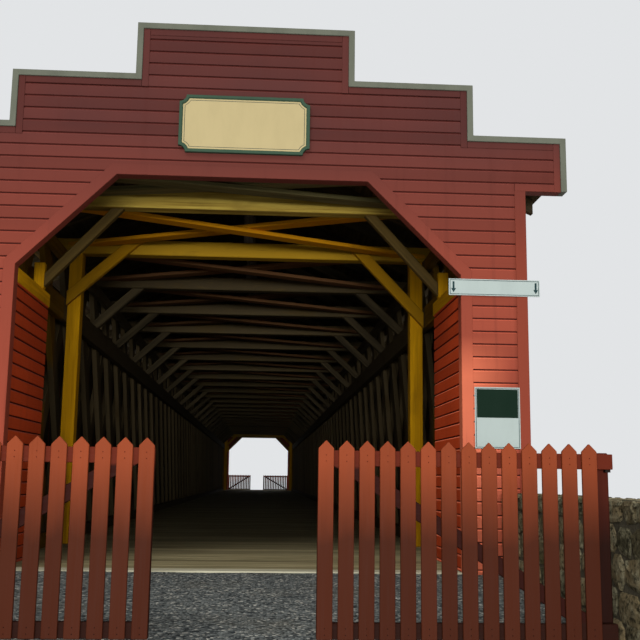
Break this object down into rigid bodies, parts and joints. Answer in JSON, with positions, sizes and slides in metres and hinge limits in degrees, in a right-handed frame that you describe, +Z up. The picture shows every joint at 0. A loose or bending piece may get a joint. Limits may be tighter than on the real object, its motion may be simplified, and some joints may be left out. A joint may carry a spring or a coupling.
{
  "type": "covered lattice-truss bridge, 1:2 scale model",
  "caption": "Two-span covered timber lattice-truss bridge with stepped board portals, stone abutments and pier, and hinged picket gates, at half size.",
  "frame": {"origin": "on the ground under the middle of the bridge, at the foot of the masonry", "axes": "+X across the roadway, +Y along the bridge away from the portal with the signs, +Z up"},
  "size_m": [3.23, 35.85, 4.97],
  "materials": {
    "rubble_stone": "rough mortared rubble",
    "approach_fill": "compacted stone",
    "weathered_timber": "dark weathered softwood, sawn",
    "ochre_timber": "yellow-stained sawn timber",
    "deck_timber": "worn bare planks",
    "pale_timber": "bleached timber",
    "roof_shingle": "weathered wood shingles",
    "red_boards": "red paint, faded",
    "sage_trim": "sage green paint, worn",
    "sign_white": "white enamel with a dark border",
    "plaque_paint": "cream field in a green frame",
    "gate_timber": "brick red paint, worn",
    "dark_iron": "rusted black iron"
  },
  "bodies": {
    "root": {"abutment_near": "rubble_stone", "abutment_far": "rubble_stone", "centre_pier": "rubble_stone", "parapets": "rubble_stone", "bed_timbers": "weathered_timber", "chords_right": "weathered_timber", "chords_left": "weathered_timber", "web_inner_right": "weathered_timber", "web_outer_right": "weathered_timber", "web_inner_left": "weathered_timber", "web_outer_left": "weathered_timber", "truss_end_posts": "weathered_timber", "floor_beams": "weathered_timber", "stringers": "weathered_timber", "deck": "deck_timber", "thresholds": "pale_timber", "tie_beams": "ochre_timber", "knee_braces": "weathered_timber", "portal_knee_braces": "ochre_timber", "portal_posts": "ochre_timber", "king_posts": "weathered_timber", "lateral_braces_lower": "ochre_timber", "lateral_braces_upper": "ochre_timber", "wall_plates": "weathered_timber", "rafters": "weathered_timber", "ridge_board": "weathered_timber", "roof_right": "roof_shingle", "roof_left": "roof_shingle", "siding_right": "red_boards", "siding_left": "red_boards", "portal_wall_near": "red_boards", "portal_wall_far": "red_boards", "portal_coping": "sage_trim", "opening_casing": "red_boards", "return_panels": "red_boards", "shelter_plates": "ochre_timber", "plate_blocks": "ochre_timber", "name_plaque": "plaque_paint", "height_board": "sign_white", "weight_board": "sign_white", "gate_posts": "gate_timber", "gate_pintles": "dark_iron"},
    "near_right_gate": {"near_right_gate_frame": "gate_timber", "near_right_gate_pickets": "gate_timber", "near_right_gate_straps": "dark_iron"},
    "near_left_gate": {"near_left_gate_frame": "gate_timber", "near_left_gate_pickets": "gate_timber", "near_left_gate_straps": "dark_iron"},
    "far_right_gate": {"far_right_gate_frame": "gate_timber", "far_right_gate_pickets": "gate_timber", "far_right_gate_straps": "dark_iron"},
    "far_left_gate": {"far_left_gate_frame": "gate_timber", "far_left_gate_pickets": "gate_timber", "far_left_gate_straps": "dark_iron"}
  },
  "joints": [
    {"name": "near_right_gate_hinge", "type": "hinge", "parent": "root", "child": "near_right_gate", "pos_m": [1.18, -17.275, 2.538], "axis": [0, 0, 1], "range_deg": [0, 90]},
    {"name": "near_left_gate_hinge", "type": "hinge", "parent": "root", "child": "near_left_gate", "pos_m": [-1.18, -17.275, 2.538], "axis": [0, 0, -1], "range_deg": [0, 90]},
    {"name": "far_right_gate_hinge", "type": "hinge", "parent": "root", "child": "far_right_gate", "pos_m": [1.18, 17.275, 2.538], "axis": [0, 0, -1], "range_deg": [0, 90]},
    {"name": "far_left_gate_hinge", "type": "hinge", "parent": "root", "child": "far_left_gate", "pos_m": [-1.18, 17.275, 2.538], "axis": [0, 0, 1], "range_deg": [0, 90]}
  ]
}
